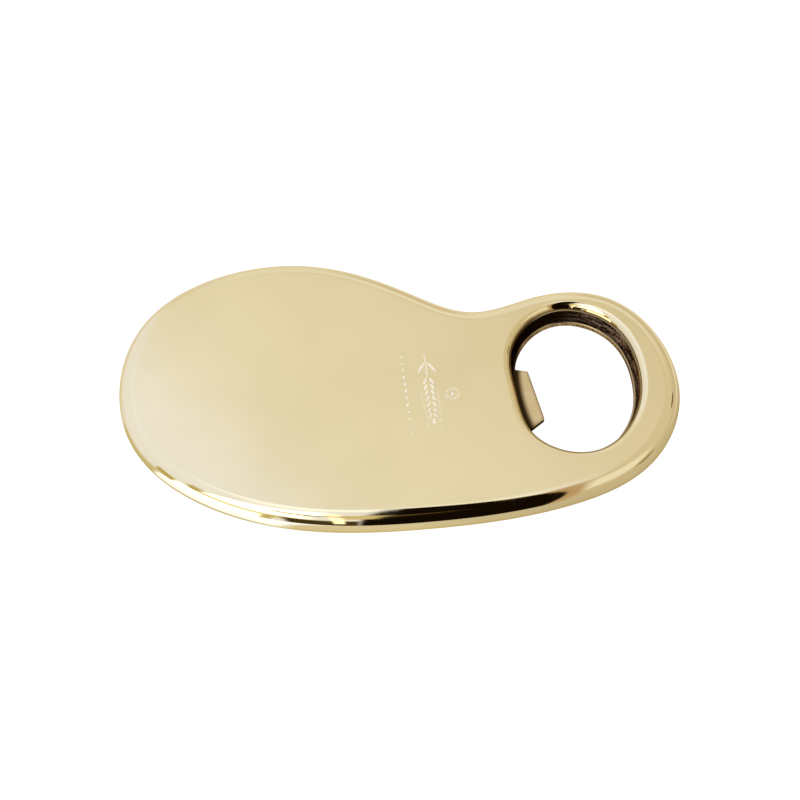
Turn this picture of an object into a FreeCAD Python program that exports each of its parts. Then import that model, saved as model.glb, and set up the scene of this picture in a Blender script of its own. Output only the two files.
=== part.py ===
import FreeCAD, Part
import math
import os

# Bottle opener: a flat pebble of solid cast brass with an oval hole in its narrow end, and a
# stamped brass ring with a lifting tab, pressed into a seat in the underside of that hole.
# Millimetres. Origin on the underside, in the middle of the plan's box. +X points from the
# broad palm end to the hole, +Y to the side with the waist, +Z up.

# ---- Driving dimensions -------------------------------------------------------------------
THICKNESS = 6.2            # of the cast body
EDGE_RADIUS = 3.05         # the rim is almost a half-round
LIP_RADIUS = 1.8           # polished roll of the hole's upper edge
WALL_DRAFT = 0.6           # the cast wall opens by this much from the ring up to the lip

RING_THICKNESS = 1.3       # sheet that the ring is stamped from
RING_RECESS = 0.2          # the ring sits this far above the body's underside
LEDGE = 0.4                # how far the ring stands into the hole, inside the cast wall
SEAT = 1.8                 # how far the ring reaches into the body, outside the cast wall

TAB_ANGLE = 15.5           # lever axis, from +X towards +Y
TAB_TIP = 7.9              # hole centre to the tab's tip edge
TAB_HALF_WIDTH = 6.1       # of the tip edge
TAB_SIDEWAYS = 0.8         # the tab's middle, to the left of the lever axis
TAB_FLANK = 25.0           # each flank opens by this angle towards the root
TAB_CORNER = 0.5           # rounding of the two tip corners

ENGRAVING_DEPTH = 0.12
ENGRAVING_CENTRE = (6.3, -0.1)
ENGRAVING_ANGLE = -83.0    # direction of the ornament's long axis
STROKE = 0.30              # width of an engraved line

# Plan of the body, clockwise from the heel: palm lobe, waist, shoulder, nose, belly.
OUTLINE = [
    (-57.0, -11.0), (-56.0, 16.5), (-22.0, 32.5), (2.0, 25.5), (16.0, 20.5), (30.0, 24.5),
    (46.0, 24.0), (60.0, 0.0), (52.5, -17.0), (36.0, -26.0), (6.5, -31.5), (-35.0, -28.5),
]
# Opening inside the ring: a rounded oval, flatter on the side of the tab.
HOLE_CENTRE = (37.2, 2.4)
HOLE_START_ANGLE = 13.0
HOLE_RADII = [13.2, 15.5, 16.9, 14.0, 11.5, 14.7, 16.3, 14.0]   # at equal angles, anticlockwise

# ---- Curves and prisms --------------------------------------------------------------------
UP = FreeCAD.Vector(0, 0, 1)


def closed_slopes(points, spans):
    """Slopes at the points of the closed cubic whose curvature has no jump at any of them."""
    sweeps = 60
    slopes = [FreeCAD.Vector() for _ in points]
    for _ in range(sweeps):
        for i in range(len(points)):
            before, after = spans[i - 1], spans[i]
            following = (i + 1) % len(points)
            bend = (points[i] - points[i - 1]) * (3 / before ** 2)
            bend += (points[following] - points[i]) * (3 / after ** 2)
            bend -= slopes[i - 1] * (1 / before) + slopes[following] * (1 / after)
            slopes[i] = bend * (0.5 / (1 / before + 1 / after))
    return slopes


def closed_curve(points):
    """Smooth closed curve through the points, paced by the distances between them."""
    following = points[1:] + points[:1]
    spans = [a.distanceToPoint(b) for a, b in zip(points, following)]
    pace = [sum(spans[:i]) for i in range(len(spans) + 1)]
    curve = Part.BSplineCurve()
    curve.interpolate(Points=points, PeriodicFlag=True, Parameters=pace, Scale=False,
                      Tangents=closed_slopes(points, spans), TangentFlags=[True] * len(points))
    return curve


def offset_curve(curve, distance, samples=36):
    """Closed curve at a constant distance outside an anticlockwise one."""
    first, last = curve.FirstParameter, curve.LastParameter
    moved = []
    for i in range(samples):
        parameter = first + (last - first) * i / samples
        tangent = curve.tangent(parameter)[0]
        outward = tangent.cross(UP)
        moved.append(curve.value(parameter) + outward * distance)
    return closed_curve(moved)


def outline_curve():
    """The body's plan, moved so that its box is centred on the origin."""
    curve = closed_curve([FreeCAD.Vector(x, y, 0) for x, y in OUTLINE])
    box = curve.toShape().optimalBoundingBox()
    middle = FreeCAD.Vector(box.Center.x, box.Center.y, 0)
    return closed_curve([FreeCAD.Vector(x, y, 0) - middle for x, y in OUTLINE])


def hole_curve():
    """The opening inside the ring, without the tab."""
    step = 360.0 / len(HOLE_RADII)
    points = []
    for i, radius in enumerate(HOLE_RADII):
        angle = math.radians(HOLE_START_ANGLE + i * step)
        x = HOLE_CENTRE[0] + radius * math.cos(angle)
        y = HOLE_CENTRE[1] + radius * math.sin(angle)
        points.append(FreeCAD.Vector(x, y, 0))
    return closed_curve(points)


def prism(edges, z_low, z_high):
    """Solid between two heights over a closed chain of edges drawn at height 0."""
    face = Part.Face(Part.Wire(edges))
    face.translate(UP * z_low)
    return face.extrude(UP * (z_high - z_low))


def curve_prism(curve, z_low, z_high):
    return prism([curve.toShape()], z_low, z_high)


def closed_rims(solid, height):
    """The edges of a solid that lie wholly at one height."""
    tolerance = 0.01
    rims = []
    for edge in solid.Edges:
        box = edge.BoundBox
        if abs(box.ZMin - height) < tolerance and abs(box.ZMax - height) < tolerance:
            rims.append(edge)
    return rims


# ---- Engraved ornament: a barley sprig between a crown-cap rosette and a row of lozenges --
def lens(centre, angle, length, width):
    """Pointed leaf between two arcs."""
    along = FreeCAD.Vector(math.cos(angle), math.sin(angle), 0)
    across = UP.cross(along)
    middle = FreeCAD.Vector(centre[0], centre[1], 0)
    tail = middle - along * (length / 2)
    tip = middle + along * (length / 2)
    left = Part.Arc(tail, middle + across * (width / 2), tip)
    right = Part.Arc(tip, middle - across * (width / 2), tail)
    return [left.toShape(), right.toShape()]


def slot(start, end, width):
    """Straight engraved line with round ends."""
    a = FreeCAD.Vector(start[0], start[1], 0)
    b = FreeCAD.Vector(end[0], end[1], 0)
    along = (b - a).normalize()
    side = UP.cross(along) * (width / 2)
    cap = along * (width / 2)
    return [
        Part.LineSegment(a + side, b + side).toShape(),
        Part.Arc(b + side, b + cap, b - side).toShape(),
        Part.LineSegment(b - side, a - side).toShape(),
        Part.Arc(a - side, a - cap, a + side).toShape(),
    ]


def sprig_strokes():
    """Stem, leaves, paired grains and awns of a barley ear, along +X of the ornament."""
    pairs = 7
    pitch = 1.4
    first_pair = -2.4
    strokes = [slot((-8.4, 0), (first_pair - 0.6, 0), STROKE)]
    for side in (1, -1):
        strokes.append(lens((-5.2, side * 1.15), math.radians(side * 32), 3.4, 0.6))
        for i in range(pairs):
            x = first_pair + i * pitch
            shrink = 1.0 - 0.05 * i
            lean = math.radians(side * 26)
            strokes.append(lens((x + 0.6, side * 0.74 * shrink), lean, 2.0 * shrink, 0.62 * shrink))
            foot = (x + 2.0, side * 1.5 * shrink)
            tip = (foot[0] + 1.7, foot[1] + side * 0.55)
            strokes.append(slot(foot, tip, STROKE * 0.6))
    last_grain = first_pair + pairs * pitch + 0.7
    strokes.append(lens((last_grain, 0), 0, 2.1, 0.62))
    return strokes


def rosette_strokes():
    """Small crown-cap rosette: a ring of short radial ticks round a dot."""
    ticks = 14
    centre = (1.9, 4.7)
    inner, outer = 1.0, 1.6
    strokes = []
    for i in range(ticks):
        angle = 2 * math.pi * i / ticks
        ray = (math.cos(angle), math.sin(angle))
        start = (centre[0] + inner * ray[0], centre[1] + inner * ray[1])
        end = (centre[0] + outer * ray[0], centre[1] + outer * ray[1])
        strokes.append(slot(start, end, STROKE * 0.8))
    dot = Part.Circle(FreeCAD.Vector(centre[0], centre[1], 0), UP, 0.4)
    strokes.append([dot.toShape()])
    return strokes


def lozenge_strokes():
    """Row of small lozenges, larger in the middle."""
    count = 13
    pitch = 1.7
    strokes = []
    for i in range(count):
        place = i - (count - 1) / 2
        size = 1.0 - 0.07 * abs(place)
        strokes.append(lens((place * pitch, -5.0), 0, 1.25 * size, 0.55 * size))
    return strokes


def engraving():
    """All pockets of the ornament, in place in the upper face."""
    pockets = []
    for stroke in sprig_strokes() + rosette_strokes() + lozenge_strokes():
        pockets.append(prism(stroke, THICKNESS - ENGRAVING_DEPTH, THICKNESS + 1.0))
    ornament = Part.makeCompound(pockets)
    ornament.rotate(FreeCAD.Vector(0, 0, 0), UP, ENGRAVING_ANGLE)
    ornament.translate(FreeCAD.Vector(ENGRAVING_CENTRE[0], ENGRAVING_CENTRE[1], 0))
    return ornament


# ---- Pieces -------------------------------------------------------------------------------
def hole_cutter():
    """Space inside the cast wall, opening upwards by the draft."""
    foot_height = RING_RECESS + RING_THICKNESS
    slope = WALL_DRAFT / (THICKNESS - LIP_RADIUS - foot_height)
    sections = []
    for height in (-1.0, THICKNESS + 1.0):
        section = offset_curve(hole_curve(), LEDGE + slope * (height - foot_height)).toShape()
        section.translate(UP * height)
        sections.append(Part.Wire([section]))
    return Part.makeLoft(sections, True, True)


def body():
    """Cast pebble with its half-round rim, lipped hole, ring seat and engraving."""
    seat = offset_curve(hole_curve(), LEDGE + SEAT)
    pebble = curve_prism(outline_curve(), 0, THICKNESS)
    pebble = pebble.makeFillet(EDGE_RADIUS, closed_rims(pebble, 0) + closed_rims(pebble, THICKNESS))
    pebble = pebble.cut(hole_cutter())
    lip = min(closed_rims(pebble, THICKNESS), key=lambda edge: edge.Length)
    pebble = pebble.makeFillet(LIP_RADIUS, [lip])
    pebble = pebble.cut(curve_prism(seat, -1, RING_RECESS + RING_THICKNESS))
    pebble = pebble.cut(engraving())
    return pebble.Solids[0]


def tab(z_low, z_high):
    """Trapezoid that hooks under a cap, from its tip edge back into the ring."""
    root = TAB_TIP + 4.0
    spread = (root - TAB_TIP) * math.tan(math.radians(TAB_FLANK))
    corners = [
        FreeCAD.Vector(-TAB_TIP, -TAB_HALF_WIDTH, 0),
        FreeCAD.Vector(-TAB_TIP, TAB_HALF_WIDTH, 0),
        FreeCAD.Vector(-root, TAB_HALF_WIDTH + spread, 0),
        FreeCAD.Vector(-root, -TAB_HALF_WIDTH - spread, 0),
    ]
    sides = [Part.LineSegment(corners[i - 1], corners[i]).toShape() for i in range(4)]
    plate = prism(sides, z_low, z_high)
    tip_corners = []
    for edge in plate.Edges:
        box = edge.BoundBox
        if box.ZLength > 0.5 * (z_high - z_low) and box.XMin > -TAB_TIP - 0.01:
            tip_corners.append(edge)
    plate = plate.makeFillet(TAB_CORNER, tip_corners)
    plate.translate(FreeCAD.Vector(0, TAB_SIDEWAYS, 0))
    plate.rotate(FreeCAD.Vector(0, 0, 0), UP, TAB_ANGLE)
    plate.translate(FreeCAD.Vector(HOLE_CENTRE[0], HOLE_CENTRE[1], 0))
    return plate


def opener_insert():
    """Stamped ring with its integral lifting tab."""
    z_low = RING_RECESS
    z_high = RING_RECESS + RING_THICKNESS
    opening = hole_curve()
    outer = offset_curve(opening, LEDGE + SEAT)
    ring = curve_prism(outer, z_low, z_high).cut(curve_prism(opening, z_low - 1, z_high + 1))
    return ring.fuse(tab(z_low, z_high)).removeSplitter().Solids[0]


os.makedirs("parts", exist_ok=True)
for name, shape in (("body", body()), ("opener_insert", opener_insert())):
    shape.exportStep("parts/" + name + ".step")
    box = shape.optimalBoundingBox()
    size = (round(box.XLength, 3), round(box.YLength, 3), round(box.ZLength, 3))
    print(name, "valid", shape.isValid(), "solids", len(shape.Solids), "size", size,
          "centre", round(box.Center.x, 3), round(box.Center.y, 3), "volume", round(shape.Volume, 1))
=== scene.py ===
import math

import bpy
import numpy as np
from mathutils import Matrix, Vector, noise
from mathutils.geometry import delaunay_2d_cdt


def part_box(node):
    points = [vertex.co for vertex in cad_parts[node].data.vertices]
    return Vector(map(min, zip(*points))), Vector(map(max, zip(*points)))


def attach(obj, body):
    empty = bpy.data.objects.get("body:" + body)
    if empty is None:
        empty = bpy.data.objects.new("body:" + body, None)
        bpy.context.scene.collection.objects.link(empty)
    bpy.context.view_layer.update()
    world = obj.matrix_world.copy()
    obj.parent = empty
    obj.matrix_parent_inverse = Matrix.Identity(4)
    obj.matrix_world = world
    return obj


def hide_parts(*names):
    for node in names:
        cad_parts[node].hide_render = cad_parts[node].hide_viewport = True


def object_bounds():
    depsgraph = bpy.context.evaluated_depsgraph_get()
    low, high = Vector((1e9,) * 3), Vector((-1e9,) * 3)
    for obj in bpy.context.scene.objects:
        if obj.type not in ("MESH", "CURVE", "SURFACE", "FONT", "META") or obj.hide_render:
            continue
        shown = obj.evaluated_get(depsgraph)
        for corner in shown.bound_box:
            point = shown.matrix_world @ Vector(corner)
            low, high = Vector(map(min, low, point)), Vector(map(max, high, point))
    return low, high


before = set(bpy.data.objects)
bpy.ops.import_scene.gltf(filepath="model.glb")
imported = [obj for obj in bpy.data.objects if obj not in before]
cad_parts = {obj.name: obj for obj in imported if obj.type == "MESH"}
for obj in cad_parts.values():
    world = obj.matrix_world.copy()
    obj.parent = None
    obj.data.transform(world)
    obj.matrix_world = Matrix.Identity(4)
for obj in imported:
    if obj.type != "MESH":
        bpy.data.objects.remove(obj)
cad_low, cad_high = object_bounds()

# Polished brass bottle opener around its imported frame. Shapes are worked out in millimetres, as
# in the design, and scaled to metres when a mesh is made. X runs from the broad end to the nose
# with the hole, Y to the far side and Z upwards.
MM = 0.001

# ---- Design sizes, as in the part, in millimetres -------------------------------------------
THICKNESS = cad_high.z / MM
EDGE_RADIUS = 3.05
LIP_RADIUS = 1.8
WALL_DRAFT = 0.6
LEDGE = 0.4
SEAT = 1.8
RING_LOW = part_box("opener_insert")[0][2] / MM
RING_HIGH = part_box("opener_insert")[1][2] / MM
TAB_ANGLE = math.radians(15.5)
TAB_TIP = 7.9
TAB_HALF_WIDTH = 6.1
TAB_SIDEWAYS = 0.8
TAB_FLANK = math.radians(25.0)
TAB_CORNER = 0.5
STROKE = 0.30
ENGRAVING_DEPTH = 0.10     # a little shallower than in the part, with bevelled sides
ENGRAVING_BEVEL = 0.05
ENGRAVING_CENTRE = (6.3, -0.1)
ENGRAVING_ANGLE = math.radians(-83.0)
OUTLINE = [
    (-57.0, -11.0), (-56.0, 16.5), (-22.0, 32.5), (2.0, 25.5), (16.0, 20.5), (30.0, 24.5),
    (46.0, 24.0), (60.0, 0.0), (52.5, -17.0), (36.0, -26.0), (6.5, -31.5), (-35.0, -28.5),
]
HOLE_CENTRE = (37.2, 2.4)
HOLE_START_ANGLE = math.radians(13.0)
HOLE_RADII = [13.2, 15.5, 16.9, 14.0, 11.5, 14.7, 16.3, 14.0]

# ---- Mesh resolution and small rounds, in millimetres ---------------------------------------
OUTLINE_COUNT = 640
HOLE_COUNT = 480
RIM_ROWS = 28
RIM_EASE = 0.8             # how much the rim's radius has grown where it meets the top face
RIM_EASE_FROM = math.radians(60)
LIP_ROWS = 20
WALL_ROWS = 14
TOP_GRID = 2.0
TOP_GRID_CLEARANCE = 1.2   # least distance of a grid place from the rim and the lip
CAST_LUMPS = 0.05          # height of the lumps on the cast wall
STAMPED_ROUND = 0.25       # rolled-over upper edge of the stamped ring
STAMPED_ROWS = 6

# ---- Colours --------------------------------------------------------------------------------
# An edge colour is the tint of a metal's grazing reflection.
BRASS_LIGHT = (0.815, 0.672, 0.380)
BRASS_DEEP = (0.785, 0.645, 0.358)
BRASS_EDGE = (0.80, 0.66, 0.38)
LIP_TONE = (0.77, 0.61, 0.31)        # where the lip leaves the top face
PATINA = (0.46, 0.33, 0.15)          # lower on the lip, where the polishing wheel didn't reach
# near-black patina low in the hole, also painted shade where the wall faces away from the bright panels
DEEP_PATINA_AND_SHADE = (0.055, 0.034, 0.013)
LIP_EDGE = (0.30, 0.21, 0.11)
CAST_SKIN = (0.010, 0.005, 0.002)
# rubbed streaks, also painted light on the wall towards the nose
CAST_RUBBED_AND_LIT = (0.36, 0.23, 0.14)
CAST_EDGE = (0.10, 0.06, 0.035)
ENGRAVED_LIGHT = (1.0, 0.94, 0.74)
ENGRAVED_DEEP = (0.90, 0.80, 0.56)
STAMPED_LIGHT = (0.70, 0.53, 0.27)
STAMPED_DEEP = (0.60, 0.43, 0.20)
# painted shade on the ring's top; the darker one is also grime in the sheared edge's tears
STAMPED_SHADE = (0.40, 0.28, 0.13)
STAMPED_GRIME_AND_SHADE = (0.17, 0.105, 0.045)
STAMPED_EDGE = (0.55, 0.42, 0.24)
SHEARED_LIGHT = (0.42, 0.29, 0.13)
# dark of the sheared edge, also painted shade at the tab's root and on its near side
SHEARED_DARK = (0.026, 0.015, 0.005)
SHEARED_EDGE = (0.30, 0.20, 0.10)

# ---- Roughness ------------------------------------------------------------------------------
POLISH_ROUGHNESS = 0.03
HAZE_ROUGHNESS = 0.065
LINE_ROUGHNESS = 0.04                # added on a polishing line
LINE_LEVELS = (0.70, 0.82)           # noise levels between which a polishing line appears
PATINA_ROUGHNESS = 0.3               # added by the deep patina
CAST_ROUGHNESS = 0.42
ENGRAVED_ROUGHNESS = 0.45
STAMPED_ROUGHNESS = (0.18, 0.26)
SHEARED_ROUGHNESS = 0.35
BRUSHED_ANGLE = 0.27                 # of the stamped sheet's grain, along the lever axis

# ---- Stains, painted light and painted shade: where each starts and where it is full, in metres ---
LIP_TONE_HEIGHT = (0.00618, 0.00590)
PATINA_HEIGHT = (0.00585, 0.00525)
DEEP_PATINA_AND_SHADE_HEIGHT = (0.00560, 0.00480)
PATINA_DEEP_AWAY = 0.35              # share of the deep patina away from the tab; beside the tab it is full, as painted shade where the wall faces away from the bright panels
PATINA_UNEVEN = 0.00015              # how far the patina's border wanders up and down
SHADED_SIDE_X = (0.036, 0.024)
SHADED_SIDE_Y = (-0.012, 0.005)
SHADED_SIDE_RISE = 0.00028             # painted shade: how much higher the patina reaches on the side facing away from the bright panels
BESIDE_TAB_X = (0.032, 0.027)
RUBBED_AND_LIT_X = (0.034, 0.050)            # painted light: the cast wall's rubbed streaks grow towards the nose, where the wall faces the bright panels
RUBBED_AND_LIT_LEAST = 0.04                  # share of the rubbed streaks and painted light at the tab's end of the hole
# On the stamped ring: places along and across the lever axis from the hole's middle, and the
# distance from the wall behind the tab, which is a parabola on those axes.
REAR_WALL_ALONG = -0.0119
REAR_WALL_LEAN = 0.063
REAR_WALL_BOW = 13.1
# where the ring keeps its own sheet colour, around which painted shade darkens it
UNSHADED_FROM_WALL = (0.0006, 0.0021)
UNSHADED_ALONG = (-0.0078, -0.0088)
UNSHADED_NEAR_SIDE = (-0.0075, -0.0045)
UNSHADED_FAR_SIDE = (0.0095, 0.0065)
LEDGE_ALONG = (-0.0080, 0.0)
TAB_ALONG = (-0.0050, -0.0070)
TAB_FROM_WALL = (0.0011, 0.0016)
ROOT_FROM_WALL = (0.0011, 0.0004)
ROOT_ALONG = (-0.0050, -0.0075)
BLACK_SIDE_ACROSS = (0.001, -0.004)  # painted dark reflection on the near side of the tab's sheared edge
BLACK_SIDE_ALONG = (-0.002, -0.006)

# ---- Studio: light seen along each direction ------------------------------------------------
WALL_RIGHT = (0.80, 0.77, 0.70)
WALL_MIDDLE = (0.985, 1.03, 1.15)
WALL_LEFT = (1.03, 1.14, 1.56)
WALL_BACK = (0.965, 1.01, 1.12)
WALL_GLOW = (1.06, 1.18, 1.68)
WALL_LOW_RIGHT = (0.72, 0.66, 0.56)
WINDOW = (1.02, 1.06, 1.14)
DIM_SPOT = (0.45, 0.38, 0.26)
DARK_SPOT = (0.08, 0.05, 0.02)
WHITE = (2.8, 2.9, 3.1)
PALE_GOLD = (0.92, 0.92, 0.74)
WARM_SEAM = (0.62, 0.55, 0.25)
WARM_EDGE = (0.66, 0.61, 0.32)
DIM_CORNER = (0.075, 0.052, 0.020)
BRIGHT_STRIP = (2.2, 2.1, 1.8)
BROWN_EDGE = (0.60, 0.45, 0.32)
BRIGHT_EDGE = (1.20, 1.24, 1.30)
BRIGHT_CORNER = (1.35, 1.50, 2.00)
DARK = (0.007, 0.004, 0.0012)
DARK_STREAK = (0.20, 0.14, 0.06)
GOLD_STREAK = (0.80, 0.72, 0.45)

LEFT, RIGHT, FRONT, BACK = (-1, 0, 0), (1, 0, 0), (0, -1, 0), (0, 1, 0)
UPWARD, DOWNWARD = (0, 0, 1), (0, 0, -1)
FRONT_LEFT = (-0.66, -0.75, 0)
SEAM = (0.692, -0.704, 0.161)            # square to the joint between the two left panels
SEAM_REVERSE = (-0.692, 0.704, -0.161)
LOW_PANEL = (0.5, -0.866, 0)             # square to the lower left panel's outer edge
LOW_PANEL_END = (-0.927, 0.375, 0)       # square to its edge beside the dark corner
LOW_PANEL_END_REVERSE = (0.927, -0.375, 0)
GAP = (-0.892, -0.413, 0.179)            # square to the dark gap's right side
TO_WINDOW = (0.527, -0.369, 0.766)
TO_DIM_SPOT = (0.883, -0.321, 0.342)
TO_DARK_SPOT = (0.772, 0.393, 0.50)

# Painted in this order. Each panel: its colour, then the planes that bound it, as a facing
# vector and the direction's share along it where the panel starts and where it is full.
PANELS = [
    # walls get lighter and cooler to the left and towards the viewer
    (WALL_MIDDLE, [(FRONT_LEFT, -0.54, -0.30), (LEFT, -0.30, -0.05)]),
    (WALL_LEFT, [(FRONT_LEFT, -0.345, -0.265), (LEFT, -0.30, -0.05)]),
    (WALL_GLOW, [(FRONT_LEFT, -0.325, -0.265), (LEFT, 0.0, 0.06), (UPWARD, 0.76, 0.84)]),
    (WALL_BACK, [(LEFT, -0.60, -0.25), (RIGHT, -0.50, -0.15), (BACK, 0.3, 0.7),
                 (DOWNWARD, -0.84, -0.66)]),
    # dimmer low on the right, with a light window above it and two small spots
    (WALL_LOW_RIGHT, [(RIGHT, 0.0, 0.2), (DOWNWARD, -0.60, -0.15)]),
    (WINDOW, [(TO_WINDOW, 0.90, 0.97)]),
    (DIM_SPOT, [(TO_DIM_SPOT, 0.984, 0.994)]),
    (DARK_SPOT, [(TO_DARK_SPOT, 0.9965, 0.9985)]),
    # upper left panel, from the zenith downwards
    (WHITE, [(LEFT, 0.12, 0.18), (SEAM, 0.04, 0.08), (UPWARD, 0.50, 0.76)]),
    (WHITE, [(LEFT, 0.04, 0.08), (SEAM, 0.04, 0.08), (UPWARD, 0.90, 0.94)]),
    # pale gold below it
    (PALE_GOLD, [(LEFT, 0.0, 0.05), (SEAM, 0.0, 0.04), (UPWARD, 0.25, 0.40),
                 (DOWNWARD, -0.70, -0.50)]),
    # warm seam between the panels
    (WARM_SEAM, [(SEAM, -0.06, -0.02), (SEAM_REVERSE, -0.06, -0.02), (LEFT, 0.10, 0.2),
                 (UPWARD, 0.1, 0.3), (DOWNWARD, -0.90, -0.70)]),
    # lower left panel, down to the horizon, with a warm edge on either side
    (WARM_SEAM, [(LOW_PANEL, -0.17, -0.12), (LOW_PANEL_END, 0.0, 0.04), (DOWNWARD, -0.50, -0.36)]),
    (WHITE, [(LOW_PANEL, 0.03, 0.07), (LOW_PANEL_END, 0.0, 0.04), (DOWNWARD, -0.50, -0.36)]),
    (WARM_EDGE, [(LOW_PANEL_END, -0.05, -0.02), (LOW_PANEL_END_REVERSE, -0.05, -0.01),
                 (FRONT, -0.1, 0.1), (DOWNWARD, -0.70, -0.40), (UPWARD, -0.3, -0.1)]),
    # dim corner low in front
    (DIM_CORNER, [(RIGHT, -0.30, -0.25), (LEFT, -0.01, 0.01), (FRONT, 0.3, 0.5),
                  (DOWNWARD, -0.66, -0.52)]),
    # narrow bright strip beside the dark gap
    (BRIGHT_STRIP, [(LEFT, 0.035, 0.045), (RIGHT, -0.08, -0.07), (UPWARD, 0.2, 0.3),
                    (FRONT, 0.0, 0.1)]),
    # edges of the dark gap: brown in front, bright overhead
    (BROWN_EDGE, [(RIGHT, 0.0, 0.02), (GAP, -0.10, -0.02), (FRONT, -0.2, 0.0)]),
    (BRIGHT_EDGE, [(RIGHT, -0.01, 0.02), (GAP, -0.026, -0.010), (BACK, 0.0, 0.2)]),
    (BRIGHT_CORNER, [(RIGHT, -0.20, -0.08), (LEFT, -0.04, 0.0), (UPWARD, 0.86, 0.92),
                     (DOWNWARD, -0.99, -0.97), (BACK, 0.0, 0.1), (FRONT, -0.42, -0.36)]),
    # dark gap in front and overhead, with two streaks across its left end
    (DARK, [(RIGHT, -0.01, 0.015), (GAP, 0.0, 0.02)]),
    (DARK_STREAK, [(UPWARD, 0.895, 0.915), (DOWNWARD, -0.955, -0.935), (FRONT, 0.0, 0.1),
                   (LEFT, -0.16, -0.02), (RIGHT, -0.26, -0.20)]),
    (GOLD_STREAK, [(RIGHT, -0.05, -0.03), (LEFT, -0.045, -0.015), (UPWARD, 0.74, 0.82),
                   (DOWNWARD, -0.985, -0.965), (FRONT, 0.0, 0.1)]),
]

# ---- Floor's painted light and shade as the polish sees it: colours, and where each starts and is full, in metres -----
FLOOR_FRONT = (0.76, 0.75, 0.67)
FLOOR_RIGHT = (0.58, 0.56, 0.50)
FLOOR_FAR = (0.88, 0.94, 1.13)
FLOOR_LEFT = (0.90, 0.97, 1.28)
FLOOR_GOLD = (0.66, 0.68, 0.52)
FLOOR_LIT = (1.35, 1.55, 2.45)
FLOOR_WHITE = (1.0, 1.0, 1.0)
FLOOR_SPREAD = 0.10                      # share of the studio's light that the floor scatters
FLOOR_RIGHT_X = (-0.010, 0.040)
FLOOR_FAR_Y = (-0.002, 0.020)
FLOOR_LEFT_X = (-0.025, -0.045)
GOLD_X = (-0.049, -0.052)
GOLD_Y = (-0.004, -0.008)
GOLD_OUTER_X = (-0.072, -0.067)
LIT_SLOPE = 0.6                          # of the lit area's edge in plan
LIT_X = (-0.022, -0.028)
LIT_BORDER = (0.0260, 0.0200)            # gold border of the lit area, across its sloping edge
LIT_FULL = (0.0145, 0.0120)
BROAD_END_CENTRE = (-0.0244, 0.0087, 0)  # of the round broad end, beside which the floor has painted shade
SHADE_RADIUS = (0.0392, 0.0412)
FLOOR_HALF_WIDTH = 3.0
FLOOR_GAP = 0.00002                      # the floor lies this far below the object

# ---- Camera ---------------------------------------------------------------------------------
CAMERA_ELEVATION = math.radians(60)
CAMERA_DISTANCE = 0.4744
CAMERA_LENS = 100
CAMERA_SENSOR = 36
CAMERA_AIM = (0.00013, -0.00117, 0)      # from the middle of the object

# Material slots of the body and of the ring.
POLISHED, CAST, ENGRAVED, LIP = 0, 1, 2, 3
STAMPED, SHEARED = 0, 1


# ---- Closed curves --------------------------------------------------------------------------
def closed_spline(points):
    """Smooth closed cubic through the points: the points, their slopes and the chords between."""
    p = np.array(points, float)
    count = len(p)
    chord = np.linalg.norm(np.roll(p, -1, 0) - p, axis=1)
    system = np.zeros((count, count))
    right = np.zeros((count, 2))
    for i in range(count):
        before, after = chord[i - 1], chord[i]
        system[i, (i - 1) % count] += 1 / before
        system[i, i] += 2 * (1 / before + 1 / after)
        system[i, (i + 1) % count] += 1 / after
        step_before = (p[i] - p[i - 1]) / before ** 2
        step_after = (p[(i + 1) % count] - p[i]) / after ** 2
        right[i] = 3 * (step_before + step_after)
    return p, np.linalg.solve(system, right), chord


def spline_at(spline, place):
    """Positions and directions of travel; place counts spans from the first point."""
    p, slope, chord = spline
    span = np.floor(place).astype(int) % len(p)
    following = (span + 1) % len(p)
    t = (place - np.floor(place))[:, None]
    h = chord[span][:, None]
    start, end = p[span], p[following]
    leave, arrive = slope[span] * h, slope[following] * h
    position = (
        (2 * t ** 3 - 3 * t ** 2 + 1) * start + (t ** 3 - 2 * t ** 2 + t) * leave
        + (3 * t ** 2 - 2 * t ** 3) * end + (t ** 3 - t ** 2) * arrive
    )
    travel = (
        (6 * t ** 2 - 6 * t) * (start - end) + (3 * t ** 2 - 4 * t + 1) * leave
        + (3 * t ** 2 - 2 * t) * arrive
    )
    return position, travel


def even_ring(points, count):
    """Evenly spaced places round a closed spline, anticlockwise, with their outward normals."""
    spline = closed_spline(points)
    fine = np.linspace(0, len(points), 200 * len(points) + 1)
    path, _ = spline_at(spline, fine)
    walked = np.concatenate([[0], np.cumsum(np.linalg.norm(np.diff(path, axis=0), axis=1))])
    place = np.interp(np.arange(count) * walked[-1] / count, walked, fine)
    position, travel = spline_at(spline, place)
    travel /= np.linalg.norm(travel, axis=1)[:, None]
    normal = np.stack([travel[:, 1], -travel[:, 0]], 1)
    if signed_area(position) < 0:
        position, normal = position[::-1], -normal[::-1]
    return position, normal


def signed_area(loop):
    """Area inside a closed loop, positive if it runs anticlockwise."""
    x, y = loop[:, 0], loop[:, 1]
    return 0.5 * np.sum(x * np.roll(y, -1) - np.roll(x, -1) * y)


def hole_points():
    """Points of the opening, at equal angles round its centre."""
    angles = HOLE_START_ANGLE + np.arange(len(HOLE_RADII)) * 2 * math.pi / len(HOLE_RADII)
    radii = np.array(HOLE_RADII)
    return np.stack([radii * np.cos(angles), radii * np.sin(angles)], 1) + HOLE_CENTRE


def body_ring():
    """The body's plan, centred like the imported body."""
    position, normal = even_ring(OUTLINE, OUTLINE_COUNT)
    fine, _ = even_ring(OUTLINE, 8 * OUTLINE_COUNT)
    return position - (fine.max(0) + fine.min(0)) / 2, normal


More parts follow.
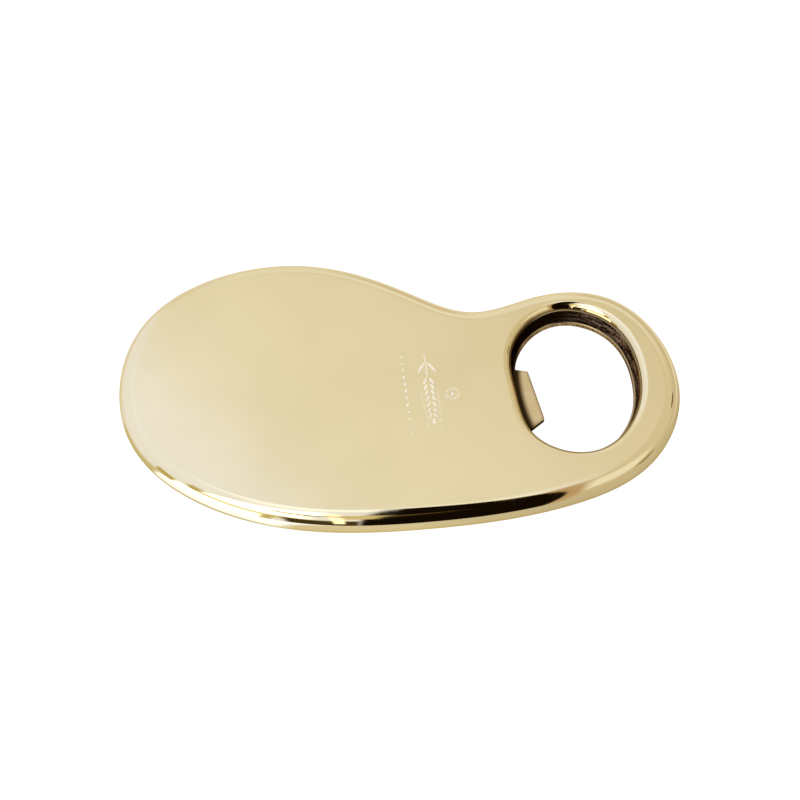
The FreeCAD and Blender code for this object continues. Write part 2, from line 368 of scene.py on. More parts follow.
# ---- Mesh builder ---------------------------------------------------------------------------
class Builder:
    """Collects vertices, faces, the normal of every face corner and each face's material."""

    def __init__(self):
        self.points = []
        self.faces = []
        self.corners = []
        self.slots = []

    def add(self, points):
        """Adds points (mm) and returns their numbers."""
        first = len(self.points)
        self.points.extend(tuple(p) for p in points)
        return list(range(first, len(self.points)))

    def ring(self, plan, height):
        heights = np.broadcast_to(np.asarray(height, float), len(plan))
        return self.add(np.column_stack([plan, heights]))

    def face(self, numbers, normals, slot):
        self.faces.append(list(numbers))
        self.corners.extend(tuple(n) for n in normals)
        self.slots.append(slot)

    def strip(self, first, second, first_normals, second_normals, slot):
        """Quads between two anticlockwise rings; they face outwards if the second is higher."""
        count = len(first)
        for i in range(count):
            j = (i + 1) % count
            numbers = (first[i], first[j], second[j], second[i])
            normals = (first_normals[i], first_normals[j], second_normals[j], second_normals[i])
            self.face(numbers, normals, slot)

    def edged_strip(self, first, second, slot, smooth_below=25.0):
        """Quads between two rings that keep the sharp corners of the first ring's plan."""
        p = [Vector(self.points[i]) for i in first]
        q = [Vector(self.points[i]) for i in second]
        count = len(first)
        flat = [(p[(i + 1) % count] - p[i]).cross(q[i] - p[i]).normalized() for i in range(count)]
        limit = math.cos(math.radians(smooth_below))
        for i in range(count):
            j = (i + 1) % count
            before, after = flat[i - 1], flat[j]
            start = (flat[i] + before).normalized() if flat[i].dot(before) > limit else flat[i]
            end = (flat[i] + after).normalized() if flat[i].dot(after) > limit else flat[i]
            self.face((first[i], first[j], second[j], second[i]), (start, end, end, start), slot)

    def cap(self, rings, height, facing, slot, extra=()):
        """Flat face inside the first ring and outside the others, at one height."""
        known = [i for ring in rings for i in ring]
        plan = [Vector(self.points[i][:2]) for i in known] + [Vector(p) for p in extra]
        loops = []
        start = 0
        for ring in rings:
            loops.append(list(range(start, start + len(ring))))
            start += len(ring)
        corners, _, triangles, sources, _, inside = delaunay_2d_cdt(plan, [], loops, 0, 1e-7)
        numbers = []
        for corner, source in zip(corners, sources):
            if source and source[0] < len(known):
                numbers.append(known[source[0]])
            else:
                numbers.extend(self.add([(corner.x, corner.y, height)]))
        for triangle, within in zip(triangles, inside):
            if within != [0]:    # outside the first ring, or inside another
                continue
            a, b, c = (corners[i] for i in triangle)
            upward = (b - a).cross(c - a) > 0
            order = triangle if upward == (facing > 0) else triangle[::-1]
            self.face([numbers[i] for i in order], [(0, 0, facing)] * 3, slot)

    def build(self, name, materials):
        mesh = bpy.data.meshes.new(name)
        scaled = [(x * MM, y * MM, z * MM) for x, y, z in self.points]
        mesh.from_pydata(scaled, [], self.faces)
        for material in materials:
            mesh.materials.append(material)
        mesh.polygons.foreach_set("material_index", self.slots)
        mesh.polygons.foreach_set("use_smooth", [True] * len(self.faces))
        mesh.normals_split_custom_set(self.corners)
        mesh.update()
        obj = bpy.data.objects.new(name, mesh)
        bpy.context.scene.collection.objects.link(obj)
        return obj


def tilted(plan_normals, across, upward):
    """Unit normals with a share along the plan normals and a share upwards."""
    up = np.full(len(plan_normals), float(upward))
    return np.column_stack([plan_normals * across, up])


# ---- Engraved ornament ----------------------------------------------------------------------
def arc_points(centre, radius, start, end, steps):
    angles = np.linspace(start, end, steps)
    return np.stack([np.cos(angles), np.sin(angles)], 1) * radius + centre


def lens(centre, angle, length, width, steps=9):
    """Pointed leaf between two arcs, anticlockwise."""
    rise, half = width / 2, length / 2
    radius = (half ** 2 + rise ** 2) / (2 * rise)
    sweep = math.asin(half / radius)
    middle = math.pi / 2
    upper = arc_points((0, rise - radius), radius, middle - sweep, middle + sweep, steps)
    lower = -upper
    loop = np.concatenate([upper[:-1], lower[:-1]])
    return turned(loop, angle) + centre


def slot_line(start, end, width, steps=5):
    """Straight line with round ends, anticlockwise."""
    start, end = np.array(start, float), np.array(end, float)
    length = np.linalg.norm(end - start)
    quarter = math.pi / 2
    right = arc_points((length / 2, 0), width / 2, -quarter, quarter, steps)
    loop = np.concatenate([right, -right])
    direction = math.atan2(end[1] - start[1], end[0] - start[0])
    return turned(loop, direction) + (start + end) / 2


def turned(plan, angle):
    """Plan points turned anticlockwise about the origin."""
    c, s = math.cos(angle), math.sin(angle)
    return np.asarray(plan) @ np.array([[c, s], [-s, c]])


def sprig():
    """Stem, leaves, paired grains and awns of a barley ear, along +X of the ornament."""
    pairs = 7
    pitch = 1.4
    stem_foot = -8.4
    leaf_place = (-5.2, 1.15)
    first_pair = -2.4
    loops = [slot_line((stem_foot, 0), (first_pair - 0.6, 0), STROKE)]
    for side in (1, -1):
        leaf_centre = (leaf_place[0], side * leaf_place[1])
        loops.append(lens(leaf_centre, math.radians(side * 32), 3.4, 0.6))
        for i in range(pairs):
            x = first_pair + i * pitch
            shrink = 1.0 - 0.05 * i
            lean = math.radians(side * 26)
            loops.append(lens((x + 0.6, side * 0.74 * shrink), lean, 2.0 * shrink, 0.62 * shrink))
            foot = (x + 2.0, side * 1.5 * shrink)
            tip = (foot[0] + 1.7, foot[1] + side * 0.55)
            loops.append(slot_line(foot, tip, STROKE * 0.6))
    last_grain = first_pair + pairs * pitch + 0.7
    loops.append(lens((last_grain, 0), 0, 2.1, 0.62))
    return loops


def rosette():
    """Small crown-cap rosette: a ring of short radial ticks round a dot."""
    ticks = 14
    inner, outer = 1.0, 1.6
    dot_radius, dot_points = 0.4, 16
    centre = np.array((1.9, 4.7))
    dot_end = 2 * math.pi * (dot_points - 1) / dot_points
    loops = [arc_points(centre, dot_radius, 0, dot_end, dot_points)]
    for i in range(ticks):
        ray = arc_points((0, 0), 1.0, 2 * math.pi * i / ticks, 0, 1)[0]
        loops.append(slot_line(centre + ray * inner, centre + ray * outer, STROKE * 0.8))
    return loops


def lozenges():
    """Row of small lozenges, larger in the middle."""
    count = 13
    pitch = 1.7
    length, width = 1.25, 0.55
    row = -5.0
    loops = []
    for i in range(count):
        place = i - (count - 1) / 2
        size = 1.0 - 0.07 * abs(place)
        loops.append(lens((place * pitch, row), 0, length * size, width * size))
    return loops


def inset(loop, distance):
    """A small convex loop drawn in by a distance along its corner normals."""
    travel = np.roll(loop, -1, 0) - np.roll(loop, 1, 0)
    travel /= np.linalg.norm(travel, axis=1)[:, None]
    inward = np.stack([-travel[:, 1], travel[:, 0]], 1)
    return loop + inward * distance


def engrave(builder):
    """Pockets of the ornament; returns their upper rings for the top face to leave out."""
    rings = []
    for loop in sprig() + rosette() + lozenges():
        placed = turned(loop, ENGRAVING_ANGLE) + ENGRAVING_CENTRE
        upper = builder.ring(placed, THICKNESS)
        floor = builder.ring(inset(placed, ENGRAVING_BEVEL), THICKNESS - ENGRAVING_DEPTH)
        builder.edged_strip(upper, floor, ENGRAVED)
        builder.face(floor, [(0, 0, 1)] * len(floor), ENGRAVED)
        rings.append(upper)
    return rings


# ---- Cast body ------------------------------------------------------------------------------
def rim_stations():
    """Stations up the rim: distance inside the plan, height, tilt of the normal.

    The lower half is a quarter round. The upper half is one too, but its radius grows towards
    the top, so that the polish runs into the flat face without a line."""
    stations = []
    for angle in np.linspace(-math.pi / 2, 0, RIM_ROWS + 1):
        inside = EDGE_RADIUS * (1 - math.cos(angle))
        stations.append((inside, EDGE_RADIUS * (1 + math.sin(angle)), angle))
    steps = 40
    fine = np.linspace(0, math.pi / 2, steps * RIM_ROWS + 1)
    eased = np.clip((fine - RIM_EASE_FROM) / (math.pi / 2 - RIM_EASE_FROM), 0, 1)
    radius = 1 + RIM_EASE * eased ** 2
    middle = (radius[1:] + radius[:-1]) / 2 * np.diff(fine)
    centre = (fine[1:] + fine[:-1]) / 2
    inside = np.concatenate([[0], np.cumsum(middle * np.sin(centre))])
    rise = np.concatenate([[0], np.cumsum(middle * np.cos(centre))])
    scale = (THICKNESS - EDGE_RADIUS) / rise[-1]
    for i in range(0, len(fine), steps):
        stations.append((inside[i] * scale, EDGE_RADIUS + rise[i] * scale, fine[i]))
    return stations


def rim(builder, plan, outward):
    """Rim from the underside's edge to the top face's edge; returns the rings of both edges."""
    first = previous = previous_normals = None
    for inside, height, angle in rim_stations():
        ring = builder.ring(plan - outward * inside, height)
        normals = tilted(outward, math.cos(angle), math.sin(angle))
        if first is None:
            first = ring
        else:
            builder.strip(previous, ring, previous_normals, normals, POLISHED)
        previous, previous_normals = ring, normals
    return first, previous


def wall_lumps(plan, height):
    """Uneven surface of the cast wall at one height."""
    lumps = []
    for x, y in plan:
        place = Vector((x, y, height))
        lumps.append(0.7 * noise.noise(place * 1.1) + 0.5 * noise.noise(place * 3.1))
    return np.array(lumps)


def hole_rows():
    """Stations down the hole: offset outside the opening, height, tilt, lumps, material slot."""
    lip_foot = THICKNESS - LIP_RADIUS
    slope = math.atan2(WALL_DRAFT, lip_foot - RING_HIGH)
    foot_offset = LEDGE + WALL_DRAFT
    foot_height = THICKNESS - LIP_RADIUS * (1 - math.sin(slope))
    rows = []
    for angle in np.linspace(math.pi / 2, slope, LIP_ROWS + 1):
        offset = foot_offset + LIP_RADIUS * (math.cos(slope) - math.cos(angle))
        height = THICKNESS - LIP_RADIUS * (1 - math.sin(angle))
        rows.append((offset, height, angle, 0.0, LIP))
    for share in np.linspace(0, 1, WALL_ROWS + 1)[1:]:
        offset = foot_offset + (LEDGE - foot_offset) * share
        height = foot_height + (RING_HIGH - foot_height) * share
        lumps = CAST_LUMPS * math.sqrt(math.sin(math.pi * share))
        rows.append((offset, height, slope, lumps, CAST))
    return rows


def hole(builder, plan, outward):
    """Lip, drafted cast wall and the seat of the ring; returns the top ring and the seat's foot."""
    top = previous = previous_normals = None
    for offset, height, angle, lumps, slot in hole_rows():
        placed = plan + outward * offset
        if lumps > 0:
            placed = placed + outward * (lumps * wall_lumps(placed, height))[:, None]
        ring = builder.ring(placed, height)
        normals = tilted(-outward, math.cos(angle), math.sin(angle))
        if top is None:
            top = ring
        else:
            builder.strip(previous, ring, previous_normals, normals, slot)
        previous, previous_normals = ring, normals
    seat_plan = plan + outward * (LEDGE + SEAT)
    seat_top = builder.ring(seat_plan, RING_HIGH)
    seat_foot = builder.ring(seat_plan, 0.0)
    down = tilted(outward, 0, -1)
    inwards = tilted(-outward, 1, 0)
    builder.strip(previous, seat_top, down, down, CAST)
    builder.strip(seat_top, seat_foot, inwards, inwards, CAST)
    return top, seat_foot


def inside_loop(loop, point):
    """True if a point lies inside a closed loop."""
    x, y = point
    a, b = loop, np.roll(loop, -1, 0)
    crosses = (a[:, 1] > y) != (b[:, 1] > y)
    with np.errstate(divide="ignore", invalid="ignore"):
        at = a[:, 0] + (y - a[:, 1]) / (b[:, 1] - a[:, 1]) * (b[:, 0] - a[:, 0])
    return bool(np.count_nonzero(crosses & (x < at)) % 2)


def grid_inside(outer, inner, pitch):
    """Grid places inside one loop and outside another, clear of both."""
    low, high = outer.min(0), outer.max(0)
    places = []
    for x in np.arange(low[0], high[0], pitch):
        for y in np.arange(low[1], high[1], pitch):
            nearest = min(np.min(np.hypot(*(loop - (x, y)).T)) for loop in (outer, inner))
            clear = nearest > TOP_GRID_CLEARANCE
            if clear and inside_loop(outer, (x, y)) and not inside_loop(inner, (x, y)):
                places.append((x, y))
    return places


def plan_of(builder, ring):
    return np.array([builder.points[i][:2] for i in ring])


def body_piece(materials):
    builder = Builder()
    plan, outward = body_ring()
    foot, crest = rim(builder, plan, outward)
    opening, opening_outward = even_ring(hole_points(), HOLE_COUNT)
    lip, seat_foot = hole(builder, opening, opening_outward)
    pockets = engrave(builder)
    grid = grid_inside(plan_of(builder, crest), plan_of(builder, lip), TOP_GRID)
    builder.cap([crest, lip] + pockets, THICKNESS, 1, POLISHED, extra=grid)
    builder.cap([foot, seat_foot], 0.0, -1, POLISHED)
    return builder.build("polished_body", materials)


# ---- Stamped ring with its tab --------------------------------------------------------------
def tab_corners():
    """Root and tip corners of the tab in plan, going round it clockwise seen from the hole."""
    root = TAB_TIP + 4.0
    spread = (root - TAB_TIP) * math.tan(TAB_FLANK)
    corners = [
        (-root, TAB_HALF_WIDTH + spread), (-TAB_TIP, TAB_HALF_WIDTH),
        (-TAB_TIP, -TAB_HALF_WIDTH), (-root, -TAB_HALF_WIDTH - spread),
    ]
    moved = np.array(corners) + (0, TAB_SIDEWAYS)
    return turned(moved, TAB_ANGLE) + HOLE_CENTRE


def rounded(before, corner, after, radius, steps=5):
    """Points of a small arc that rounds a corner between two straight runs."""
    a = (before - corner) / np.linalg.norm(before - corner)
    b = (after - corner) / np.linalg.norm(after - corner)
    half = math.acos(np.clip(a @ b, -1, 1)) / 2
    reach = radius / math.tan(half)
    middle = corner + (a + b) / np.linalg.norm(a + b) * radius / math.sin(half)
    start, end = corner + a * reach - middle, corner + b * reach - middle
    points = []
    for t in np.linspace(0, 1, steps):
        mixed = start * (1 - t) + end * t
        points.append(middle + mixed / np.linalg.norm(mixed) * radius)
    return points


def crossing(a, b, c, d):
    """Shares of the way along a-b and c-d where the two straight runs cross."""
    m = np.column_stack([b - a, c - d])
    return np.linalg.solve(m, c - a)


def insert_loop():
    """The ring's inner edge with the tab let in, anticlockwise."""
    opening, _ = even_ring(hole_points(), HOLE_COUNT)
    far_root, far_tip, near_tip, near_root = tab_corners()
    meets = []
    for root, tip in ((far_root, far_tip), (near_root, near_tip)):
        for i in range(HOLE_COUNT):
            j = (i + 1) % HOLE_COUNT
            along_flank, along_edge = crossing(root, tip, opening[i], opening[j])
            if 0 <= along_flank <= 1 and 0 <= along_edge < 1:
                meets.append((i, root + along_flank * (tip - root)))
    (far_index, far_meet), (near_index, near_meet) = meets
    kept = (far_index - near_index) % HOLE_COUNT
    edge = [opening[(near_index + 1 + k) % HOLE_COUNT] for k in range(kept)]
    tab = [far_meet] + rounded(far_meet, far_tip, near_tip, TAB_CORNER)
    tab += rounded(far_tip, near_tip, near_meet, TAB_CORNER) + [near_meet]
    return np.array(edge + tab)


def drawn_back(loop, distance):
    """The loop moved into the metal round it by a distance, mitred at the corners."""
    ahead = np.roll(loop, -1, 0) - loop
    ahead /= np.linalg.norm(ahead, axis=1)[:, None]
    edge_out = np.stack([ahead[:, 1], -ahead[:, 0]], 1)
    both = edge_out + np.roll(edge_out, 1, 0)
    return loop + both / np.sum(both * edge_out, axis=1)[:, None] * distance


def insert_piece(materials):
    builder = Builder()
    inner = insert_loop()
    plan, outward = even_ring(hole_points(), HOLE_COUNT)
    outer = plan + outward * (LEDGE + SEAT)
    top = previous = None
    for angle in np.linspace(math.pi / 2, 0, STAMPED_ROWS + 1):
        back = STAMPED_ROUND * (1 - math.cos(angle))
        height = RING_HIGH - STAMPED_ROUND * (1 - math.sin(angle))
        ring = builder.ring(drawn_back(inner, back), height)
        if top is None:
            top = ring
        else:
            builder.edged_strip(previous, ring, STAMPED)
        previous = ring
    foot = builder.ring(inner, RING_LOW)
    builder.edged_strip(previous, foot, SHEARED)
    outer_top = builder.ring(outer, RING_HIGH)
    outer_foot = builder.ring(outer, RING_LOW)
    sideways = tilted(outward, 1, 0)
    builder.strip(outer_foot, outer_top, sideways, sideways, SHEARED)
    builder.cap([outer_top, top], RING_HIGH, 1, STAMPED)
    builder.cap([outer_foot, foot], RING_LOW, -1, STAMPED)
    return builder.build("lifting_ring", materials)


# ---- Materials ------------------------------------------------------------------------------
class Nodes:
    """Short calls for building a node tree."""

    def __init__(self, tree):
        self.tree = tree
        tree.nodes.clear()

    def new(self, kind, **settings):
        node = self.tree.nodes.new(kind)
        for name, value in settings.items():
            setattr(node, name, value)
        return node

    def link(self, source, target):
        self.tree.links.new(source, target)

    def place(self, scale=(1, 1, 1), turn=0.0):
        """Object coordinates, scaled and turned about Z."""
        coordinates = self.new("ShaderNodeTexCoord")
        mapping = self.new("ShaderNodeMapping")
        mapping.inputs["Scale"].default_value = scale
        mapping.inputs["Rotation"].default_value = (0, 0, turn)
        self.link(coordinates.outputs["Object"], mapping.inputs["Vector"])
        return mapping.outputs["Vector"]

    def axes(self, vector=None):
        """The three components of a vector, by default of the object coordinates in metres."""
        split = self.new("ShaderNodeSeparateXYZ")
        self.link(self.place() if vector is None else vector, split.inputs["Vector"])
        return split.outputs["X"], split.outputs["Y"], split.outputs["Z"]

    def lever_axes(self):
        """Places along and across the lever axis, in metres from the middle of the hole."""
        middle = turned(np.array([HOLE_CENTRE]) * MM, -TAB_ANGLE)[0]
        mapping = self.new("ShaderNodeMapping")
        mapping.inputs["Rotation"].default_value = (0, 0, -TAB_ANGLE)
        mapping.inputs["Location"].default_value = (-middle[0], -middle[1], 0)
        self.link(self.place(), mapping.inputs["Vector"])
        return self.axes(mapping.outputs["Vector"])[:2]

    def reach(self, along, across):
        """Distance of a place on the tab from the curved wall behind it."""
        lean = self.math("MULTIPLY", across, REAR_WALL_LEAN)
        bow = self.math("MULTIPLY", self.math("MULTIPLY", across, across), REAR_WALL_BOW)
        wall = self.math("ADD", self.math("ADD", lean, bow), REAR_WALL_ALONG)
        return self.math("SUBTRACT", along, wall)

    def noise(self, vector, scale, detail=3.0, roughness=0.5):
        node = self.new("ShaderNodeTexNoise")
        node.inputs["Scale"].default_value = scale
        node.inputs["Detail"].default_value = detail
        node.inputs["Roughness"].default_value = roughness
        self.link(vector, node.inputs["Vector"])
        return node.outputs["Fac"]

    def span(self, value, start, full, to_start=0.0, to_full=1.0):
        """Smooth step from one result, where a value starts, to another, where it is full."""
        node = self.new("ShaderNodeMapRange", interpolation_type="SMOOTHSTEP")
        for name, number in (("From Min", start), ("From Max", full),
                             ("To Min", to_start), ("To Max", to_full)):
            node.inputs[name].default_value = number
        self.link(value, node.inputs["Value"])
        return node.outputs["Result"]

    def patch(self, *spans):
        """Overlap of several spans, each a value with where it starts and where it is full."""
        mask = self.span(spans[0][0], *spans[0][1])
        for value, ends in spans[1:]:
            mask = self.math("MULTIPLY", mask, self.span(value, *ends))
        return mask

    def math(self, operation, first, second):
        """Result of a sum on two values, each a socket or a number."""
        node = self.new("ShaderNodeMath", operation=operation)
        for i, value in enumerate((first, second)):
            if isinstance(value, (int, float)):
                node.inputs[i].default_value = value
            else:
                self.link(value, node.inputs[i])
        return node.outputs[0]

    def mix(self, factor, first, second):
        """Colour between two, each a socket or three numbers."""
        node = self.new("ShaderNodeMix", data_type="RGBA")
        self.link(factor, node.inputs["Factor"])
        colours = [i for i in node.inputs if i.type == "RGBA"]
        for socket, value in zip(colours, (first, second)):
            if isinstance(value, tuple):
                socket.default_value = (*value, 1.0)
            else:
                self.link(value, socket)
        return [o for o in node.outputs if o.type == "RGBA"][0]

    def bump(self, height, distance, strength=1.0, under=None):
        node = self.new("ShaderNodeBump")
        node.inputs["Strength"].default_value = strength
        node.inputs["Distance"].default_value = distance
        self.link(height, node.inputs["Height"])
        if under is not None:
            self.link(under, node.inputs["Normal"])
        return node.outputs["Normal"]


def metal(name, metallic, edge=None):
    """A material with a lone Principled shader; returns it, its nodes and the shader."""
    material = bpy.data.materials.new(name)
    material.use_nodes = True
    nodes = Nodes(material.node_tree)
    shader = nodes.new("ShaderNodeBsdfPrincipled")
    shader.inputs["Metallic"].default_value = metallic
    if edge is not None:
        shader.inputs["Specular Tint"].default_value = (*edge, 1)
    output = nodes.new("ShaderNodeOutputMaterial")
    nodes.link(shader.outputs["BSDF"], output.inputs["Surface"])
    return material, nodes, shader


def hairlines(nodes, turn, density):
    """Sparse fine polishing lines in one direction: 1 on a line, 0 between."""
    stretched = (density, density * 0.02, density * 0.3)
    streaks = nodes.noise(nodes.place(stretched, turn), scale=1.0, detail=1.0)
    return nodes.span(streaks, *LINE_LEVELS)


def polish(nodes, shader):
    """Colour and haze of the polished brass; sets its hairlines and slight waves on the shader."""
    tone = nodes.noise(nodes.place(), scale=55.0, detail=2.0)
    one_way = hairlines(nodes, turn=0.4, density=2600.0)
    other_way = hairlines(nodes, turn=1.9, density=3100.0)
    lines = nodes.math("MAXIMUM", one_way, other_way)
    wave = nodes.noise(nodes.place(), scale=75.0, detail=1.0)
    waves = nodes.bump(wave, distance=0.00006, strength=0.6)
    normal = nodes.bump(lines, distance=0.000002, strength=0.3, under=waves)
    nodes.link(normal, shader.inputs["Normal"])
    cloud = nodes.noise(nodes.place(), scale=240.0, detail=4.0)
    haze = nodes.span(cloud, 0.35, 0.75, POLISH_ROUGHNESS, HAZE_ROUGHNESS)
    haze = nodes.math("ADD", haze, nodes.math("MULTIPLY", lines, LINE_ROUGHNESS))
    return nodes.mix(nodes.span(tone, 0.3, 0.7), BRASS_DEEP, BRASS_LIGHT), haze


def polished_brass():
    material, nodes, shader = metal("polished_brass", 1.0, BRASS_EDGE)
    colour, haze = polish(nodes, shader)
    nodes.link(colour, shader.inputs["Base Color"])
    nodes.link(haze, shader.inputs["Roughness"])
    return material


def lip_brass():
    """Polished at the top face, brown and duller down into the hole; painted shade raises the brown and
    blackens it on the hole's side towards the broad end, which faces away from the bright panels.
    """
    material, nodes, shader = metal("lip_brass", 1.0, LIP_EDGE)
    colour, haze = polish(nodes, shader)
    x, y, z = nodes.axes()
    # painted shade: the patina reaches higher on the side of the hole that faces away from the bright
    # panels
    shaded_side = nodes.patch((x, SHADED_SIDE_X), (y, SHADED_SIDE_Y))
    uneven = nodes.math("SUBTRACT", nodes.noise(nodes.place(), scale=420.0, detail=3.0), 0.5)
    raised = nodes.math("ADD", nodes.math("MULTIPLY", shaded_side, SHADED_SIDE_RISE),
                        nodes.math("MULTIPLY", uneven, PATINA_UNEVEN))
    height = nodes.math("SUBTRACT", z, raised)
    colour = nodes.mix(nodes.span(height, *LIP_TONE_HEIGHT), colour, LIP_TONE)
    colour = nodes.mix(nodes.span(height, *PATINA_HEIGHT), colour, PATINA)
    # painted shade: the near-black is full beside the tab and only partly elsewhere
    beside_tab = nodes.span(x, *BESIDE_TAB_X)
    deep = nodes.math("MULTIPLY", nodes.span(height, *DEEP_PATINA_AND_SHADE_HEIGHT),
                      nodes.span(beside_tab, 0, 1, PATINA_DEEP_AWAY, 1))
    nodes.link(nodes.mix(deep, colour, DEEP_PATINA_AND_SHADE), shader.inputs["Base Color"])
    duller = nodes.math("MULTIPLY", deep, PATINA_ROUGHNESS)
    nodes.link(nodes.math("ADD", haze, duller), shader.inputs["Roughness"])
    return material


def cast_brass():
    """As-cast wall: a dark skin with rubbed streaks, painted stronger towards the nose as light on the
    side that faces the bright panels.
    """
    material, nodes, shader = metal("cast_brass", 1.0, CAST_EDGE)
    grain = nodes.noise(nodes.place(), scale=2400.0, detail=5.0, roughness=0.6)
    stretched = nodes.place((260.0, 260.0, 1500.0))
    streaks = nodes.noise(stretched, scale=1.0, detail=4.0, roughness=0.6)
    wear = nodes.math("ADD", nodes.math("MULTIPLY", grain, 0.45), nodes.math("MULTIPLY", streaks, 0.55))
    x = nodes.axes()[0]
    # painted light: the streaks grow towards the nose, where the wall faces the bright panels
    lit_towards_nose = nodes.span(x, *RUBBED_AND_LIT_X, RUBBED_AND_LIT_LEAST, 1.0)
    rubbed_and_lit = nodes.math("MULTIPLY", nodes.span(wear, 0.44, 0.60), lit_towards_nose)
    nodes.link(nodes.mix(rubbed_and_lit, CAST_SKIN, CAST_RUBBED_AND_LIT), shader.inputs["Base Color"])
    shader.inputs["Roughness"].default_value = CAST_ROUGHNESS
    nodes.link(nodes.bump(grain, distance=0.00010, strength=0.8), shader.inputs["Normal"])
    return material


def engraved_brass():
    """Frosted floor and sides of the engraved lines, lighter than the polish."""
    material, nodes, shader = metal("engraved_brass", 0.8)
    frost = nodes.noise(nodes.place(), scale=5200.0, detail=3.0)
    nodes.link(nodes.mix(frost, ENGRAVED_DEEP, ENGRAVED_LIGHT), shader.inputs["Base Color"])
    shader.inputs["Roughness"].default_value = ENGRAVED_ROUGHNESS
    nodes.link(nodes.bump(frost, distance=0.00002, strength=0.5), shader.inputs["Normal"])
    return material


def stamped_brass():
    """Satin sheet with painted shade: darker along the ledge, near the wall behind the tab, at the
    tab's root and towards the tab's sides, keeping the sheet's colour only in the middle of the tab.
    """
    material, nodes, shader = metal("stamped_brass", 1.0, STAMPED_EDGE)
    along, across = nodes.lever_axes()
    reach = nodes.reach(along, across)
    stain = nodes.noise(nodes.place(), scale=260.0, detail=4.0, roughness=0.6)
    sheet = nodes.mix(nodes.span(stain, 0.3, 0.75), STAMPED_LIGHT, STAMPED_DEEP)
    # painted shade everywhere but the middle of the tab: near the wall behind it, at its root, along
    # the ledge and towards its sides
    unshaded = nodes.patch((reach, UNSHADED_FROM_WALL), (along, UNSHADED_ALONG),
                        (across, UNSHADED_NEAR_SIDE), (across, UNSHADED_FAR_SIDE))
    ledge = nodes.mix(nodes.span(along, *LEDGE_ALONG), STAMPED_GRIME_AND_SHADE, STAMPED_SHADE)
    tab = nodes.patch((along, TAB_ALONG), (reach, TAB_FROM_WALL))
    root = nodes.patch((reach, ROOT_FROM_WALL), (along, ROOT_ALONG))
    shaded = nodes.mix(root, nodes.mix(tab, ledge, STAMPED_SHADE), SHEARED_DARK)
    nodes.link(nodes.mix(unshaded, shaded, sheet), shader.inputs["Base Color"])
    brushed = nodes.place((700.0, 5000.0, 700.0), turn=BRUSHED_ANGLE)
    grain = nodes.noise(brushed, scale=1.0, detail=2.0)
    nodes.link(nodes.span(grain, 0.3, 0.7, *STAMPED_ROUGHNESS), shader.inputs["Roughness"])
    nodes.link(nodes.bump(grain, distance=0.000004, strength=0.4), shader.inputs["Normal"])
    return material


def sheared_brass():
    """Blanked edge of the sheet, with a painted dark reflection along the tab's near side."""
    material, nodes, shader = metal("sheared_brass", 1.0, SHEARED_EDGE)
    along, across = nodes.lever_axes()
    upright = nodes.place((3000.0, 3000.0, 500.0))
    tears = nodes.noise(upright, scale=1.0, detail=3.0)
    worn = nodes.mix(nodes.span(tears, 0.35, 0.65), SHEARED_LIGHT, STAMPED_GRIME_AND_SHADE)
    # painted dark reflection: the near side of the tab's sheared edge is dark
    near_side = nodes.patch((across, BLACK_SIDE_ACROSS), (along, BLACK_SIDE_ALONG))
    nodes.link(nodes.mix(near_side, worn, SHEARED_DARK), shader.inputs["Base Color"])
    shader.inputs["Roughness"].default_value = SHEARED_ROUGHNESS
    nodes.link(nodes.bump(tears, distance=0.00002, strength=0.6), shader.inputs["Normal"])
    return material


# ---- Studio ---------------------------------------------------------------------------------
def studio_world():
    """Soft studio seen in the polish: pale walls, white panels on the left, a dark gap in front."""
    world = bpy.data.worlds.new("studio")
    bpy.context.scene.world = world
    world.use_nodes = True
    nodes = Nodes(world.node_tree)
    coordinates = nodes.new("ShaderNodeTexCoord")

    def share(facing):
        """Share of the direction that is looked along on a facing vector."""
        dot = nodes.new("ShaderNodeVectorMath", operation="DOT_PRODUCT")
        dot.inputs[1].default_value = facing
        nodes.link(coordinates.outputs["Generated"], dot.inputs[0])
        return dot.outputs["Value"]

    colour = WALL_RIGHT
    for panel_colour, planes in PANELS:
        mask = nodes.patch(*[(share(facing), (start, full)) for facing, start, full in planes])
        colour = nodes.mix(mask, colour, panel_colour)
    studio = nodes.new("ShaderNodeBackground")
    nodes.link(colour, studio.inputs["Color"])
    plain = nodes.new("ShaderNodeBackground")
    plain.inputs["Color"].default_value = (1, 1, 1, 1)
    rays = nodes.new("ShaderNodeLightPath")
    chosen = nodes.new("ShaderNodeMixShader")
    nodes.link(rays.outputs["Is Camera Ray"], chosen.inputs["Fac"])
    nodes.link(studio.outputs["Background"], chosen.inputs[1])
    nodes.link(plain.outputs["Background"], chosen.inputs[2])
    output = nodes.new("ShaderNodeOutputWorld")
    nodes.link(chosen.outputs["Shader"], output.inputs["Surface"])


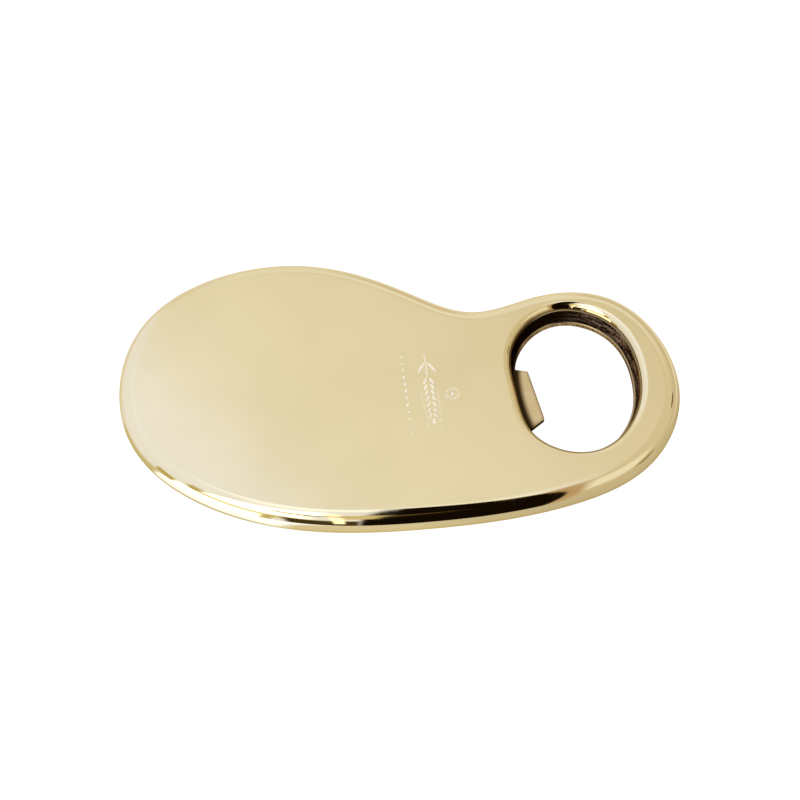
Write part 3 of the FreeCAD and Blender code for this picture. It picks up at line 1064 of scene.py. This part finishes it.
def floor_material():
    """Plain white floor to the camera; other rays see it glow with painted light: dimmer on the right,
    a painted pool of light at the left front and painted shade beside the broad end.
    """
    material = bpy.data.materials.new("pale_floor")
    material.use_nodes = True
    nodes = Nodes(material.node_tree)
    x, y = nodes.axes()[:2]
    seen = nodes.mix(nodes.span(x, *FLOOR_RIGHT_X), FLOOR_FRONT, FLOOR_RIGHT)
    seen = nodes.mix(nodes.span(y, *FLOOR_FAR_Y), seen, FLOOR_FAR)
    seen = nodes.mix(nodes.span(x, *FLOOR_LEFT_X), seen, FLOOR_LEFT)
    ahead = nodes.math("SUBTRACT", y, nodes.math("MULTIPLY", x, LIT_SLOPE))
    beside = nodes.patch((x, GOLD_X), (y, GOLD_Y), (x, GOLD_OUTER_X))
    border = nodes.patch((x, LIT_X), (ahead, LIT_BORDER))
    seen = nodes.mix(nodes.math("MAXIMUM", beside, border), seen, FLOOR_GOLD)
    away = nodes.new("ShaderNodeVectorMath", operation="DISTANCE")
    nodes.link(nodes.place(), away.inputs[0])
    away.inputs[1].default_value = BROAD_END_CENTRE
    # painted pool of light, with painted shade beside the broad end
    lit = nodes.patch((x, LIT_X), (ahead, LIT_FULL), (away.outputs["Value"], SHADE_RADIUS))
    seen = nodes.mix(lit, seen, FLOOR_LIT)
    rays = nodes.new("ShaderNodeLightPath")
    glow = nodes.new("ShaderNodeEmission")
    nodes.link(nodes.mix(rays.outputs["Is Camera Ray"], seen, FLOOR_WHITE), glow.inputs["Color"])
    spread = nodes.new("ShaderNodeBsdfDiffuse")
    spread.inputs["Color"].default_value = (FLOOR_SPREAD, FLOOR_SPREAD, FLOOR_SPREAD, 1)
    total = nodes.new("ShaderNodeAddShader")
    nodes.link(glow.outputs["Emission"], total.inputs[0])
    nodes.link(spread.outputs["BSDF"], total.inputs[1])
    output = nodes.new("ShaderNodeOutputMaterial")
    nodes.link(total.outputs["Shader"], output.inputs["Surface"])
    return material


def pale_floor():
    size = FLOOR_HALF_WIDTH
    corners = [(-size, -size, 0), (size, -size, 0), (size, size, 0), (-size, size, 0)]
    mesh = bpy.data.meshes.new("pale_floor")
    mesh.from_pydata(corners, [], [(0, 1, 2, 3)])
    mesh.materials.append(floor_material())
    floor = bpy.data.objects.new("pale_floor", mesh)
    bpy.context.scene.collection.objects.link(floor)
    floor.location.z = cad_low.z - FLOOR_GAP


def camera():
    data = bpy.data.cameras.new("camera")
    data.lens = CAMERA_LENS
    data.sensor_width = CAMERA_SENSOR
    made = bpy.data.objects.new("camera", data)
    bpy.context.scene.collection.objects.link(made)
    back = Vector((0, -math.cos(CAMERA_ELEVATION), math.sin(CAMERA_ELEVATION)))
    aim = (cad_low + cad_high) / 2 + Vector(CAMERA_AIM)
    made.location = aim + back * CAMERA_DISTANCE
    made.rotation_mode = "QUATERNION"
    made.rotation_quaternion = (-back).to_track_quat("-Z", "Y")
    bpy.context.scene.camera = made


# ---- Scene ----------------------------------------------------------------------------------
body = body_piece([polished_brass(), cast_brass(), engraved_brass(), lip_brass()])
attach(body, "root")
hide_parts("body")

ring = insert_piece([stamped_brass(), sheared_brass()])
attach(ring, "root")
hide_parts("opener_insert")

studio_world()
pale_floor()
camera()
bpy.context.scene.view_settings.view_transform = "Standard"
